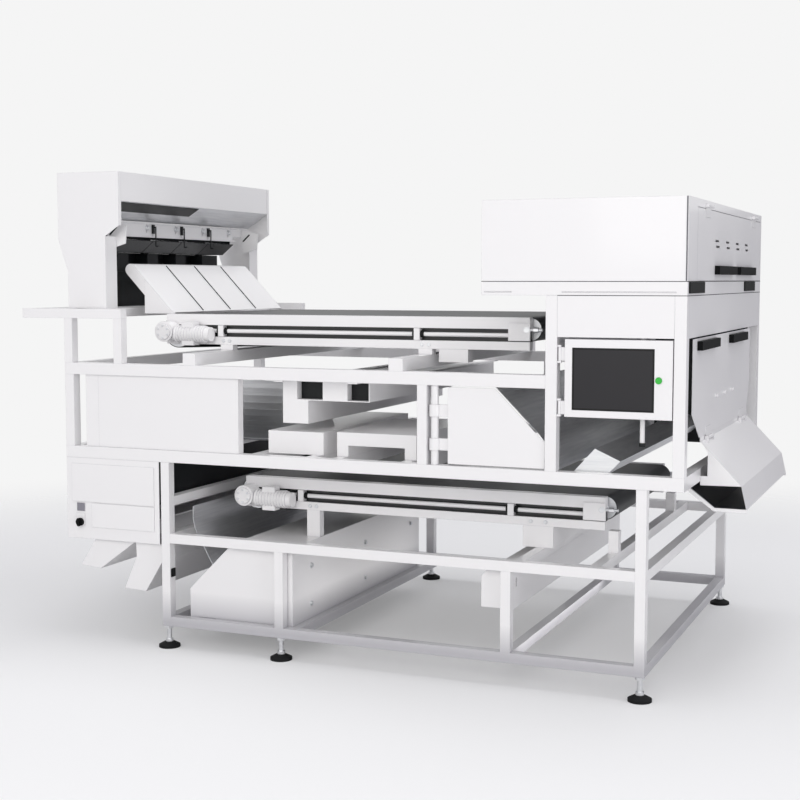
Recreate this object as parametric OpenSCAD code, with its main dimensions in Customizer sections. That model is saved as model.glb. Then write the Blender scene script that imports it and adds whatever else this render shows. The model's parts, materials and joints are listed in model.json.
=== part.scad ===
// Double-layer belt colour sorter: hopper tower, two belt conveyors, sorting head and lower sorter box
// +X runs from the hopper to the product outlet, +Y to the back, +Z up, in millimetres

/* [Frame] */
// Length of the upper frame
frame_l = 2657; // [2500:1:2900]
// Depth of both frames over their tubes
frame_d = 1724; // [1660:1:1850]
// Height of the lower frame's underside above the floor
foot_h = 93; // [70:1:120]
// Underside height of the middle rails
mid_rail_z = 446; // [430:1:460]
// Underside height of the deck rails
deck_z = 787; // [770:1:810]
// Underside height of the top rails
top_rail_z = 1144; // [1120:1:1170]
// Side of the lower frame's square tube
lower_tube = 40; // [34:1:44]
// Height of the upper frame's rails
upper_tube = 50; // [44:1:56]
// Width of the upper frame's posts
post_w = 44; // [40:1:48]
// Gap left at each weld
weld_gap = 0.25; // [0.2:0.05:0.5]
// Inset of the lower frame's right legs from the right end
right_leg_inset = 134; // [120:1:160]
// Inset of the lower frame's left legs from the left end
left_leg_inset = 471; // [465:1:500]
// Height of the posts that carry the tower table
table_post_h = 189; // [180:1:200]
// Length of the table past the left end
table_overhang = 214; // [200:1:240]
// Diameter of a foot pad
pad_d = 90; // [70:1:110]
// Height of a foot pad
pad_h = 24; // [18:1:30]
// Diameter of a foot stem
stem_d = 20; // [14:1:24]

/* [Conveyors] */
// Width of the belts
belt_w = 1000; // [900:1:1040]
// Thickness of the belts
belt_t = 3; // [2:0.5:5]
// Radius of the drive rollers
drive_r = 72; // [60:1:76]
// Radius of the tail rollers
tail_r = 45; // [35:1:50]
// Running gap between a roller and its belt
roller_gap = 0.5; // [0.4:0.1:1]
// Height of a side rail
rail_h = 130; // [126:1:140]
// Thickness of a side rail
rail_t = 40; // [36:1:50]
// Gap between a belt's edge and the side rail
rail_gap = 10; // [6:1:14]
// Depth of the recess along a side rail
recess_depth = 24; // [20:1:28]
// Width of the recess along a side rail
recess_h = 50; // [46:1:54]
// Height of the band above the recess
top_band_h = 46; // [42:1:48]
// Diameter of the guide rods
rod_d = 18; // [14:1:22]
// Radius of the roller shafts
shaft_r = 12; // [10:0.5:14]
// Radial running clearance of the shafts
shaft_play = 0.06; // [0.03:0.01:0.1]
// Height of the upper cross beams
beam_h = 50; // [44:1:56]
// Height of the spacers on the upper cross beams
spacer_h = 23; // [18:1:30]
// Drop of the lower belt below the deck rails
lower_belt_drop = 85; // [75:1:95]

/* [Tower] */
// Outer width of the tower
tower_w = 1376; // [1340:1:1400]
// Height of the tower above its table
tower_h = 589; // [570:1:620]
// Depth of the tower's side boxes
side_box_d = 85; // [70:1:100]
// Sheet thickness of covers and panels
sheet = 2; // [1.5:0.5:3]
// Gap between neighbouring trays and gates
lane_gap = 4; // [3:0.5:6]
// Thickness of a feed gate
gate_t = 4; // [3:0.5:6]
// Upward travel of a gate
gate_travel = 12; // [8:1:13]
// Thickness of the feed slide
slide_t = 53; // [44:1:60]

/* [Head] */
// Length of the sorting head
head_l = 771; // [740:1:820]
// Length of the bay under the head
bay_l = 520; // [500:1:540]
// Rise of the head's base pan above the top rails
pan_rise = 295; // [286:1:316]
// Height of the base pan
pan_h = 51; // [44:1:60]
// Height of the hood above the pan
hood_h = 301; // [280:1:330]
// Height of the skirt under the pan
skirt_h = 153; // [146:1:160]
// Width of the hood's corner return on the right side
corner_return = 171; // [150:1:200]
// Reach of the product outlet past the right end
outlet_reach = 175; // [160:1:190]
// Width of the screen housing
screen_w = 398; // [390:1:402]
// Height of the screen housing
screen_h = 286; // [270:1:290]
// Width of the visible display
display_w = 304; // [280:1:310]
// Height of the visible display
display_h = 229; // [210:1:236]
// Diameter of the push button
button_d = 24; // [18:1:30]
// Travel of the push button
button_travel = 3; // [2:0.5:4]

/* [Hidden] */
$fn = 48;
white = "#f2f1f0";
steel = "#b9bcc0";
dark = "#2a2c2e";
black = "#151617";
clear = 0.3;

// The frame's ends: every length is taken from one of them
overall_l = frame_l + table_overhang + outlet_reach;
right_x = overall_l / 2 - outlet_reach;
left_x = right_x - frame_l;
front_y = -frame_d / 2;
back_y = frame_d / 2;
function rx(d) = right_x - d;
function lx(d) = left_x + d;
function fy(d) = front_y + d;
function by(d) = back_y - d;

// Heights that follow from the driving sizes
deck_top = deck_z + upper_tube;
mid_top = mid_rail_z + lower_tube;
lower_rail_top = foot_h + lower_tube;
top_rail_top = top_rail_z + upper_tube;
table_z = top_rail_top + table_post_h;
table_tube = lower_tube;
table_top = table_z + table_tube;
tower_top = table_top + tower_h;
upper_belt_z = top_rail_top + beam_h + spacer_h + rail_h;
lower_belt_z = deck_z - lower_belt_drop;
pan_z = top_rail_top + pan_rise;
hood_z = pan_z + pan_h;
hood_top = hood_z + hood_h;
skirt_z = pan_z - skirt_h;

// Ends of the belts' rollers
upper_drive_x = lx(345);
upper_tail_x = rx(690);
lower_drive_x = lx(732);
lower_tail_x = rx(378);

// Across the belts
belt_y = belt_w / 2;
rail_in_y = belt_y + rail_gap;
rail_out_y = rail_in_y + rail_t;
tower_y = tower_w / 2;

module block(a, b) {
  translate(a) cube(b - a);
}

// Both halves of a piece that stands on each side of the middle plane
module both_sides() {
  children();
  mirror([0, 1, 0]) children();
}

// An outline of X and Z points, extruded from y0 to y1
module slab_xz(points, y0, y1) {
  translate([0, y1, 0]) rotate([90, 0, 0]) linear_extrude(y1 - y0) polygon(points);
}

// An outline of Y and Z points, extruded from x0 to x1
module slab_yz(points, x0, x1) {
  translate([x0, 0, 0]) rotate([90, 0, 90]) linear_extrude(x1 - x0) polygon(points);
}

module rod_x(x0, x1, y, z, r) {
  translate([x0, y, z]) rotate([0, 90, 0]) cylinder(h = x1 - x0, r = r);
}

module rod_y(x, y0, y1, z, r) {
  translate([x, y0, z]) rotate([-90, 0, 0]) cylinder(h = y1 - y0, r = r);
}

module rod_z(x, y, z0, z1, r) {
  translate([x, y, z0]) cylinder(h = z1 - z0, r = r);
}

// Points of an arc in a plane, from angle a0 to a1
function arc(cx, cz, r, a0, a1, n) =
  [for (i = [0:n]) [cx + r * cos(a0 + (a1 - a0) * i / n), cz + r * sin(a0 + (a1 - a0) * i / n)]];

// A sheet of even thickness along a line of points, extruded in Y
function sheet_outline(line, t) = concat(
  line,
  [for (i = [len(line) - 1:-1:0]) line[i] + t * side_of(line, i)]
);
function side_of(line, i) =
  let (
    a = line[max(i - 1, 0)],
    b = line[min(i + 1, len(line) - 1)],
    d = b - a
  ) [d[1], -d[0]] / norm(d);

// Lower frame: legs, rails and cross rails of square tube
cabinet_post_x = lx(1001);
cabinet_rail_x = lx(1057);
cabinet_x = lx(581);
duct_post_x = rx(690);
stand_rail_x = rx(645);
end_rail_x = rx(352);
box_rail_z = 600;
module lower_frame() {
  t = lower_tube;
  x0 = lx(left_leg_inset);
  x1 = rx(right_leg_inset);
  y0 = fy(t + weld_gap);
  y1 = by(t + weld_gap);
  color(white) {
    for (x = [x0, x1 - t]) {
      both_sides() block([x, front_y, foot_h], [x + t, fy(t), deck_z - weld_gap]);
      for (z = [foot_h, mid_rail_z]) block([x, y0, z], [x + t, y1, z + t]);
    }
    block([x0, y0, box_rail_z], [x0 + t, y1, box_rail_z + t]);
    for (z = [foot_h, mid_rail_z]) {
      both_sides() block([x0 + t + weld_gap, front_y, z], [x1 - t - weld_gap, fy(t), z + t]);
    }
    for (x = [cabinet_x, cabinet_rail_x, duct_post_x]) block([x, y0, foot_h], [x + t, y1, foot_h + t]);
    for (x = [stand_rail_x, end_rail_x]) block([x, y0, mid_rail_z], [x + t, y1, mid_top]);
    for (x = [cabinet_post_x, duct_post_x]) both_sides() block(
      [x, front_y, lower_rail_top + weld_gap], [x + t, fy(t), mid_rail_z - weld_gap]
    );
  }
}

// Upper frame: deck, top rails, posts, the tower's table, and the pins of the bay's hinges
table_rail_r = lx(248);
table_post_w = lower_tube;
tower_tube_xs = [lx(-100), lx(57)];
deck_cross_xs = [lx(310), lx(880), lx(1130), lx(1245), lx(1540)];
hinge_post_x = rx(1031);
hinge_bar_x = rx(966);
hinge_bar_y = fy(24);
hinge_bar_r = 15;
pin_r = 2.5;
conduit_x = rx(171);
conduit_y = fy(75);
conduit_z = deck_top + 113;
conduit_r = 9;
module upper_frame() {
  t = upper_tube;
  w = post_w;
  bay_x = rx(bay_l);
  y0 = fy(w + weld_gap);
  y1 = by(w + weld_gap);
  post_z = deck_top + weld_gap;
  color(white) {
    both_sides() {
      block([left_x, front_y, deck_z], [right_x, fy(w), deck_top]);
      block([left_x, front_y, top_rail_z], [bay_x - weld_gap, fy(w), top_rail_top]);
      block([left_x, front_y, post_z], [left_x + w, fy(w), top_rail_z - weld_gap]);
      block([hinge_post_x, front_y, post_z], [hinge_post_x + lower_tube, fy(w), top_rail_z - weld_gap]);
      for (x = [bay_x, right_x - w]) block([x, front_y, post_z], [x + w, fy(w), pan_z - weld_gap]);
      for (x = [left_x, table_rail_r]) block(
        [x, front_y, top_rail_top + weld_gap], [x + table_post_w, fy(table_tube), table_z - weld_gap]
      );
      block(
        [lx(-table_overhang), front_y, table_z],
        [table_rail_r + table_post_w, fy(table_tube), table_top]
      );
    }
    for (x = [left_x, right_x - w]) block([x, y0, deck_z], [x + w, y1, deck_top]);
    block([left_x, y0, top_rail_z], [left_x + w, y1, top_rail_top]);
    for (x = deck_cross_xs) block([x, y0, deck_z], [x + lower_tube, y1, deck_top]);
    for (x = concat([lx(-table_overhang)], tower_tube_xs)) block(
      [x, fy(table_tube + weld_gap), table_z],
      [x + table_tube, by(table_tube + weld_gap), table_top]
    );
    for (z = screen_hinge_zs) {
      rod_z(screen_hinge_x, screen_hinge_y, z - hinge_lug, z + hinge_l + hinge_lug, pin_r);
      for (lug = [z - hinge_lug, z + hinge_l + clear]) block(
        [bay_x + w + weld_gap, screen_hinge_y - hinge_r, lug],
        [screen_hinge_x + hinge_r, screen_hinge_y + hinge_r, lug + hinge_lug - clear]
      );
    }
  }
  color(white) rod_z(conduit_x, conduit_y, conduit_z, pan_z - weld_gap, conduit_r);
  color(steel) rod_z(hinge_bar_x, hinge_bar_y, post_z, top_rail_z - weld_gap, hinge_bar_r);
}

// Levelling feet under the legs and under the cabinet posts
foot_xs = [
  lx(left_leg_inset) + lower_tube / 2,
  cabinet_post_x + lower_tube / 2,
  rx(right_leg_inset) - lower_tube / 2
];
foot_y = front_y + lower_tube / 2;
nut_h = 12;
module foot_stems() {
  color(steel) both_sides() for (x = foot_xs) {
    rod_z(x, foot_y, pad_h, foot_h, stem_d / 2);
    translate([x, foot_y, foot_h - nut_h]) cylinder(h = nut_h, r = stem_d * 0.9, $fn = 6);
    rod_z(x, foot_y, pad_h, pad_h + nut_h, stem_d * 0.8);
  }
}

module foot_pads() {
  color(black) both_sides() for (x = foot_xs) translate([x, foot_y, 0]) rotate_extrude()
    polygon([[0, 0], [pad_d / 2, 0], [pad_d / 2, pad_h * 0.45], [stem_d, pad_h], [0, pad_h]]);
}

// Cross beams that carry the conveyors on the frames
beam_w = 60;
upper_beam_xs = [lx(585), rx(1150)];
stand_w = 125;
stand_x = rx(700);
module conveyor_beams() {
  spacer_z = top_rail_top + beam_h;
  stand_top = lower_belt_z - rail_h;
  color(white) {
    for (x = upper_beam_xs) {
      block([x, front_y, top_rail_top], [x + beam_w, back_y, spacer_z]);
      both_sides() block([x, rail_in_y, spacer_z + weld_gap], [x + beam_w, rail_out_y, spacer_z + spacer_h]);
    }
    block([stand_x, -rail_out_y, mid_top], [stand_x + stand_w, rail_out_y, stand_top]);
    both_sides() {
      block([end_rail_x, rail_in_y, mid_top], [end_rail_x + lower_tube, rail_out_y, stand_top]);
      block([cabinet_rail_x - beam_w, rail_in_y, cabinet_top], [cabinet_rail_x, rail_out_y, stand_top]);
    }
  }
}

// Service duct across the machine behind its posts, with an oval hole in its right wall
duct_w = 130;
duct_h = 145;
duct_z = 293;
duct_chamfer = [22, 26];
module service_duct() {
  x1 = duct_post_x + lower_tube;
  x0 = x1 - duct_w;
  y0 = fy(lower_tube + clear);
  z1 = duct_z + duct_h;
  hole_r = 10;
  hole_z = z1 - 45;
  color(white) difference() {
    slab_xz(
      [[x0, duct_z], [x1, duct_z], [x1, z1], [x0 + duct_chamfer[0], z1], [x0, z1 - duct_chamfer[1]]], y0, -y0
    );
    for (dz = [-8, 8]) rod_x(x1 - 12, x1 + 1, fy(75), hole_z + dz, hole_r);
  }
}

// Tower side boxes: an outer panel with returned edges on a straight column
column_x0 = lx(-100);
column_x1 = lx(97);
bin_x0 = lx(-148);
bin_x1 = lx(168);
bin_z = table_top + 301;
shoulder_z = table_top + 312;
cover_z = table_top + 357;
bin_return = 20;
module tower_sides() {
  y0 = -tower_y;
  heel_z = table_top + 165;
  outline = [
    [bin_x0, tower_top], [bin_x1, tower_top], [bin_x1, cover_z], [column_x1, shoulder_z],
    [column_x1, table_top], [column_x0, table_top], [column_x0, heel_z],
    [column_x0 - 18, heel_z + 45], [bin_x0, bin_z]
  ];
  color(white) both_sides() {
    slab_xz(outline, y0, y0 + sheet);
    block([column_x1 - sheet, y0, table_top], [column_x1, y0 + side_box_d, shoulder_z]);
    block([column_x0, y0, table_top], [column_x0 + sheet, y0 + side_box_d, heel_z]);
    block([bin_x1 - sheet, y0, cover_z], [bin_x1, y0 + bin_return, tower_top]);
    block([bin_x0, y0, bin_z], [bin_x0 + sheet, y0 + bin_return, tower_top]);
  }
  color(white) block(
    [column_x0, -tower_y + side_box_d - sheet / 2, table_top],
    [column_x0 + sheet, tower_y - side_box_d + sheet / 2, rear_cover_z]
  );
}

// Hopper bin: open top, front cover, slanted underside and bottom slot over the trays
bin_y = belt_y + 14;
gate_x = lx(53);
gate_z = table_top + 305;
gate_h = 72;
front_cover_h = 126;
cover_foot = tower_top - front_cover_h;
throat = [gate_x - 12, gate_z + 84];
hopper_top = [bin_x1 - 2 * sheet - 2 * clear, cover_foot + clear];
module hopper_bin() {
  y = tower_y - sheet - clear;
  x0 = bin_x0 + sheet + clear;
  x1 = bin_x1 - sheet - clear;
  lap = sheet / 2;
  color(white) {
    block([x1 - sheet, -y, cover_foot], [x1, y, tower_top]);
    block([x0, -y, bin_z], [x0 + sheet, y, tower_top]);
    both_sides() slab_xz(
      [
        [x0 + lap, tower_top], [x1 - lap, tower_top], [x1 - lap, cover_foot + 2 * sheet],
        throat + [-2 * sheet, sheet], [throat[0] - 2 * sheet, gate_z + 8], [x0 + lap, gate_z + 40]
      ],
      -bin_y, -bin_y + sheet
    );
  }
}

// Gate bar: carries the gates between two end cheeks with a slanted slot
lane_w = belt_w / 4;
function lane_y(i) = -belt_y + lane_w * (i - 0.5);
knob_r = 11;
knob_l = 16;
knob_z = gate_z + 56;
knob_off = 75;
function knob_y(i) = lane_y(i) + knob_off;
screw_r = 4;
bar_t = 8;
bar_h = 40;
cheek_t = 4;
cheek_y = tower_y - side_box_d - clear - cheek_t;
slot_l = 52;
slot_w = 8;
slot_a = 42;
module cheek_slot(play, t) {
  translate([lx(64), -cheek_y - cheek_t / 2, gate_z + 12]) rotate([0, -slot_a, 0])
    translate([play, -t / 2, play]) cube([slot_l - 2 * play, t, slot_w - 2 * play]);
}

module gate_bar() {
  bar_x = gate_x - clear - bar_t;
  cheek = [[44, 36], [44, 76], [70, 76], [123, 62], [150, 54], [144, -24], [66, -46], [48, 16]];
  color(white) {
    difference() {
      block([bar_x, -cheek_y, knob_z - bar_h / 2], [bar_x + bar_t, cheek_y, knob_z + bar_h / 2]);
      for (i = [1:4]) rod_x(bar_x - 1, bar_x + bar_t + 1, knob_y(i), knob_z, screw_r + shaft_play);
    }
    both_sides() difference() {
      slab_xz([for (p = cheek) [lx(p[0]), gate_z + p[1]]], -cheek_y - cheek_t, -cheek_y);
      cheek_slot(0, 2 * cheek_t);
    }
  }
}

// One gate plate with a bottom flange and an open slot for its clamp screw
gate_lift = 12;
gate_flange = 14;
module feed_gate(i) {
  y0 = lane_y(i) - (lane_w - lane_gap) / 2;
  y1 = lane_y(i) + (lane_w - lane_gap) / 2;
  z0 = gate_z + gate_lift;
  slot_r = screw_r + 1;
  slot_z = knob_z - gate_travel - 5;
  color(white) difference() {
    union() {
      block([gate_x, y0, z0], [gate_x + gate_t, y1, gate_z + gate_h]);
      block([gate_x, y0, z0], [gate_x + gate_t + gate_flange, y1, z0 + gate_t]);
    }
    rod_x(gate_x - 1, gate_x + gate_t + 1, knob_y(i), slot_z, slot_r);
    translate([gate_x - 1, knob_y(i) - slot_r, slot_z]) cube([gate_t + 2, 2 * slot_r, gate_h]);
  }
}

// One clamp knob with six grip notches, and its screw
module gate_knob(i) {
  x0 = gate_x + gate_t + clear;
  notch_r = 4;
  pitch_r = knob_r + 2;
  color(steel) {
    rod_x(gate_x - clear - bar_t - 6, x0 + 2, knob_y(i), knob_z, screw_r);
    difference() {
      rod_x(x0, x0 + knob_l, knob_y(i), knob_z, knob_r);
      for (a = [0:60:300]) {
        rod_x(x0 + 4, x0 + knob_l + 1, knob_y(i) + pitch_r * cos(a), knob_z + pitch_r * sin(a), notch_r);
      }
    }
  }
}

// One feeder tray: floor and side walls over a wedge-shaped box that is open behind
tray_l = 200;
tray_lip = 4;
tray_box_h = 54;
tray_lead = 64;
tray_z = gate_z - 2;
rear_cover_z = tray_z - tray_box_h - 2 * clear;
module feeder_tray(i) {
  y0 = lane_y(i) - (lane_w - lane_gap) / 2;
  y1 = lane_y(i) + (lane_w - lane_gap) / 2;
  x1 = gate_x + gate_t + tray_lip;
  x0 = x1 - tray_l;
  t = 3;
  floor_z = tray_z + 18;
  base_z = tray_z - tray_box_h;
  wall_x = gate_x - bar_t - 4;
  wall_z = tray_z + 32;
  lead_x = x1 - tray_lead;
  hollow_x = x1 - 30;
  color(dark) {
    difference() {
      slab_xz([[x0, floor_z], [x0, base_z], [lead_x, base_z], [x1, tray_z - sheet], [x1, tray_z]], y0, y1);
      slab_xz(
        [
          [x0 - 1, floor_z - t - 1], [x0 - 1, base_z + t], [lead_x - t, base_z + t],
          [hollow_x, tray_z - 20], [hollow_x, tray_z - 1]
        ],
        y0 + t, y1 - t
      );
    }
    for (y = [y0, y1 - t]) slab_xz(
      [[x0, floor_z - t], [wall_x, tray_z - sheet], [wall_x, wall_z], [x0, wall_z]], y, y + t
    );
  }
}

// Vibrating drives under the trays on a cross bar between the tower's sides
drive_w = 90;
drive_l = 70;
drive_bar = 40;
drive_bar_z = table_top + 120;
module feeder_drives() {
  x0 = column_x0 + 10;
  head_z = tray_z - tray_box_h - clear;
  head_r = 20;
  body_z = head_z - 6;
  bar_top = drive_bar_z + drive_bar;
  color(dark) {
    block([x0, -tower_y + sheet, drive_bar_z], [x0 + drive_bar, tower_y - sheet, bar_top]);
    for (i = [1:4]) {
      translate([x0 - 4, lane_y(i) - drive_w / 2, bar_top]) cube([drive_l, drive_w, body_z - bar_top]);
      rod_z(x0 + drive_bar / 2, lane_y(i), body_z - 1, head_z, head_r);
    }
  }
}

// Feed slide: a rounded board down to the belt, with lane dividers and side skirts on the rails
slide_a = 46;
slide_drop = 207;
slide_l = slide_drop / sin(slide_a);
slide_x = lx(327);
slide_z = upper_belt_z + 5;
module feed_slide() {
  foot_x = slide_x;
  foot_z = slide_z;
  l = slide_l;
  w = rail_in_y + 4;
  skirt_x = lx(182);
  color(white) {
    difference() {
      translate([foot_x, 0, foot_z]) rotate([0, slide_a, 0]) {
        translate([-l, -w, -slide_t]) cube([l + slide_t, 2 * w, slide_t]);
        translate([-l, -w, -slide_t / 2]) rotate([-90, 0, 0]) cylinder(h = 2 * w, r = slide_t / 2);
      }
      block([foot_x - l, -w - 1, foot_z - 3 * slide_t], [foot_x + 3 * slide_t, w + 1, foot_z]);
    }
    both_sides() slab_xz(
      [
        [skirt_x, upper_belt_z], [foot_x + 10, upper_belt_z], [foot_x + 10, foot_z],
        [foot_x - 2, foot_z + 4], [skirt_x, foot_z + (foot_x - skirt_x) * tan(slide_a) - 4]
      ],
      -w - sheet, -w
    );
  }
}

// Raised dividers between the lanes, along the slide's face
module slide_dividers() {
  rib = 3;
  color(dark) for (i = [1:3]) translate([slide_x, -belt_y + lane_w * i, slide_z]) rotate([0, slide_a, 0])
    translate([-slide_l, -rib / 2, weld_gap]) cube([slide_l - 2 * rib, rib, rib]);
}

// Each conveyor as [drive roller's x, tail roller's x, height of the belt's top, clips' x]
upper_line = [upper_drive_x, upper_tail_x, upper_belt_z, [lx(576), rx(1169)]];
lower_line = [lower_drive_x, lower_tail_x, lower_belt_z, [lx(957), rx(764)]];
conveyor_lines = [upper_line, lower_line];

// Loop of belt around two rollers whose tops are level
function belt_loop(xd, xt, zt, rd, rt) =
  let (tilt = 2 * atan((rd - rt) / (xt - xd)))
  concat(arc(xd, zt - rd, rd, 90, 270 + tilt, 30), arc(xt, zt - rt, rt, -90 + tilt, 90, 30));

module belt(line) {
  color(dark) translate([0, belt_y, 0]) rotate([90, 0, 0]) linear_extrude(belt_w) difference() {
    polygon(belt_loop(line[0], line[1], line[2], drive_r + belt_t, tail_r + belt_t));
    polygon(belt_loop(line[0], line[1], line[2] - belt_t, drive_r, tail_r));
  }
}

function drive_z(zt) = zt - belt_t - drive_r;
function tail_z(zt) = zt - belt_t - tail_r;

// Rollers with their shafts: the drive shaft reaches into the gearbox
module roller(x, z, r, front) {
  color(steel) {
    rod_y(x, -belt_y, belt_y, z, r - roller_gap);
    rod_y(x, -front, rail_out_y + plate_t, z, shaft_r);
  }
}

module drive_roller(line) {
  roller(line[0], drive_z(line[2]), drive_r, rail_out_y + box_l - 4);
}

module tail_roller(line) {
  roller(line[1], tail_z(line[2]), tail_r, rail_out_y + plate_t);
}

// Slotted side rails with bores for both shafts
rail_over = 28;
tail_over = 12;
module side_rails() {
  out = -rail_out_y;
  in = -rail_in_y;
  color(white) for (line = conveyor_lines) {
    zt = line[2];
    z0 = zt - rail_h;
    r1 = zt - top_band_h;
    r0 = r1 - recess_h;
    both_sides() difference() {
      slab_yz(
        [
          [out, z0], [in, z0], [in, zt], [out, zt], [out, r1], [out + recess_depth, r1],
          [out + recess_depth, r0], [out, r0]
        ],
        line[0] - rail_over, line[1] + tail_over
      );
      rod_y(line[0], out - 1, in + 1, drive_z(zt), shaft_r + shaft_play);
      rod_y(line[1], out - 1, in + 1, tail_z(zt), shaft_r + shaft_play);
    }
  }
}

// Slider beds between the side rails, under the carrying runs
bed_t = 8;
bed_bar = 40;
module belt_beds() {
  y = rail_in_y;
  color(steel) for (line = conveyor_lines) {
    z1 = line[2] - belt_t - clear;
    z0 = z1 - bed_t;
    x0 = line[0] + drive_r + 10;
    x1 = line[1] - tail_r - 10;
    block([x0, -y, z0], [x1, y, z1]);
    for (x = [x0 + 20, (x0 + x1) / 2, x1 - 60]) block([x, -y, z0 - bed_bar], [x + bed_bar, y, z0]);
  }
}

// Worm gearmotors: round gearbox on the drive shaft, motor along the rail, foot and terminal box
box_r = 44;
box_l = 74;
motor_r = 36;
motor_l = 150;
module gearmotor(xd, z) {
  y1 = -rail_out_y - clear;
  y0 = y1 - box_l;
  motor_x = xd + box_r;
  motor_y = y1 - motor_r - 4;
  motor_z = z - 10;
  foot_x = motor_x + 40;
  foot_l = 60;
  foot_w = 48;
  rib_x = motor_x + 24;
  rib_n = 9;
  rib_pitch = 14;
  rib_t = 5;
  rib_h = 2.5;
  difference() {
    union() {
      rod_y(xd, y0, y1, z, box_r);
      rod_y(xd, y0 - 8, y0 + 1, z, box_r - 10);
      rod_x(xd + 20, motor_x + 16, motor_y, motor_z, motor_r * 0.8);
      rod_x(motor_x + 6, motor_x + 16, motor_y, motor_z, motor_r + 2);
      rod_x(motor_x + 16, motor_x + motor_l, motor_y, motor_z, motor_r);
      for (k = [0:rib_n - 1]) {
        rod_x(rib_x + k * rib_pitch, rib_x + k * rib_pitch + rib_t, motor_y, motor_z, motor_r + rib_h);
      }
      rod_x(motor_x + motor_l - 1, motor_x + motor_l + 24, motor_y, motor_z, motor_r - 5);
      translate([foot_x, motor_y - foot_w / 2, motor_z - motor_r - 12]) cube([foot_l, foot_w, 22]);
      translate([foot_x, motor_y - foot_w / 2, motor_z + motor_r - 8]) cube([foot_l, foot_w, 24]);
    }
    rod_y(xd, y0 + 3, y1 + 1, z, shaft_r + shaft_play);
  }
}

module gearmotors() {
  color(white) for (line = conveyor_lines) gearmotor(line[0], drive_z(line[2]));
}

// Guide rods with clips in the recess, and end plates on the tail shafts
clip_w = 26;
clip_out = 6;
plate_l = 90;
plate_t = 8;
junction_x = rx(1061);
junction_h = 53;
function plate_x(line) = line[1] + tail_over + 3 - plate_l;
module rail_fittings() {
  out = rail_out_y;
  rod_y0 = -out + rod_d / 2;
  color(white) for (line = conveyor_lines) {
    zt = line[2];
    r1 = zt - top_band_h;
    rod_z0 = r1 - recess_h / 2;
    px = plate_x(line);
    pz = tail_z(zt);
    both_sides() {
      rod_x(line[0] + box_r + 30, px - weld_gap, rod_y0, rod_z0, rod_d / 2);
      for (x = line[3]) difference() {
        block([x, -out - clip_out, r1 - recess_h + 1], [x + clip_w, -out + recess_depth, r1 - 1]);
        rod_x(x - 1, x + clip_w + 1, rod_y0, rod_z0, rod_d / 2 + weld_gap);
      }
      difference() {
        block([px, -out - plate_t, pz - 44], [px + plate_l, -out - weld_gap, pz + 26]);
        rod_y(line[1], -out - plate_t - 1, -out + 1, pz, shaft_r + shaft_play);
      }
    }
  }
  color(white) block(
    [junction_x, -out, upper_belt_z - rail_h - junction_h],
    [junction_x + 125, -out + 60, upper_belt_z - rail_h - weld_gap]
  );
}

// Belt tension bolts with hexagon nuts, past the end plates
bolt_r = 6;
bolt_l = 50;
module tension_bolts() {
  y = -rail_out_y - plate_t / 2;
  color(steel) for (line = conveyor_lines) both_sides()
    translate([plate_x(line) + plate_l + weld_gap, y, tail_z(line[2])]) rotate([0, 90, 0]) {
      cylinder(h = bolt_l, r = bolt_r);
      translate([0, 0, 14]) cylinder(h = 20, r = bolt_r * 1.8, $fn = 6);
    }
}

// Base pan of the sorting head, with grooves along its front and black pads on its right corners
module head_pan() {
  x0 = rx(head_l);
  groove_h = 4;
  groove_d = 1.6;
  light_inset = 150;
  color(white) difference() {
    block([x0, front_y, pan_z], [right_x, back_y, hood_z - weld_gap]);
    block([x0 + sheet, fy(sheet), pan_z + sheet], [right_x - sheet, by(sheet), hood_z + 1]);
    block(
      [x0 + light_inset, fy(light_inset), pan_z - 1],
      [rx(light_inset), by(light_inset), pan_z + sheet + 1]
    );
    for (g = [[rx(460), rx(40)], [x0 + 10, x0 + 118]]) {
      block([g[0], front_y - 1, pan_z + 10], [g[1], front_y + groove_d, pan_z + 10 + groove_h]);
    }
  }
}

pad_reach = 6;
module corner_pads() {
  l = 280;
  color(black) for (y = [fy(22), by(194) - l]) {
    block([right_x + weld_gap, y, pan_z + 8], [right_x + pad_reach, y + l, hood_z - 2]);
  }
}

// Hinges of the side doors: barrels on the doors, lugs and pins on what carries them
hinge_r = 6;
hinge_l = 50;
hinge_lug = 8;
door_hinge_l = 100;
hood_hinge_x = right_x + hinge_r + 2;
hood_hinge_z = hood_top - 20;
hood_rim = 30;
hood_hinge_ys = [fy(320), by(280)];
module hinge_pins_y(x, z, y, foot) {
  rod_y(x, y - hinge_lug, y + door_hinge_l + hinge_lug, z, pin_r);
  for (lug = [y - hinge_lug, y + door_hinge_l + clear]) block(
    [x - hinge_r - 3, lug, z - hinge_r - foot], [x + hinge_r, lug + hinge_lug - clear, z + hinge_r]
  );
}

module hinge_barrel_y(x, z, y) {
  difference() {
    union() {
      rod_y(x, y, y + door_hinge_l, z, hinge_r);
      children();
    }
    rod_y(x, y - 1, y + door_hinge_l + 1, z, pin_r + shaft_play);
  }
}

module head_hood() {
  x0 = rx(head_l);
  color(white) {
    difference() {
      block([x0, front_y, hood_z], [right_x, back_y, hood_top]);
      block([x0 + sheet, fy(sheet), hood_z - 1], [right_x - sheet, by(sheet), hood_top - sheet]);
      block(
        [right_x - 2 * sheet, fy(corner_return), hood_z - 1],
        [right_x + 1, by(hood_rim), hood_top - hood_rim]
      );
    }
    for (y = hood_hinge_ys) hinge_pins_y(hood_hinge_x, hood_hinge_z, y, 0);
  }
}

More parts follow.
